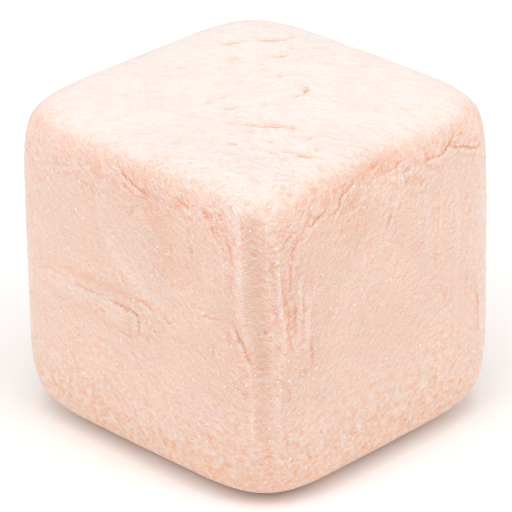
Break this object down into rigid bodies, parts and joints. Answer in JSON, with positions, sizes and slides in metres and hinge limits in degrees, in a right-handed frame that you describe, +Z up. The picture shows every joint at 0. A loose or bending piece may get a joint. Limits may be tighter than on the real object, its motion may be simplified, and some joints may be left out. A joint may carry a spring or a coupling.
{
  "type": "cube marshmallow",
  "caption": "Soft cube marshmallow with crowned faces, rounded edges and a flat foot; a sweet to eat, toast or stir into a drink.",
  "frame": {"origin": "middle of the flat foot that the marshmallow rests on", "axes": "+Z up; +X across the widest side; the face with the shallow dent looks along -Y"},
  "size_m": [0.031, 0.0302, 0.0286],
  "materials": {
    "foam": "matte"
  },
  "bodies": {
    "root": {"marshmallow": "foam"}
  },
  "joints": []
}
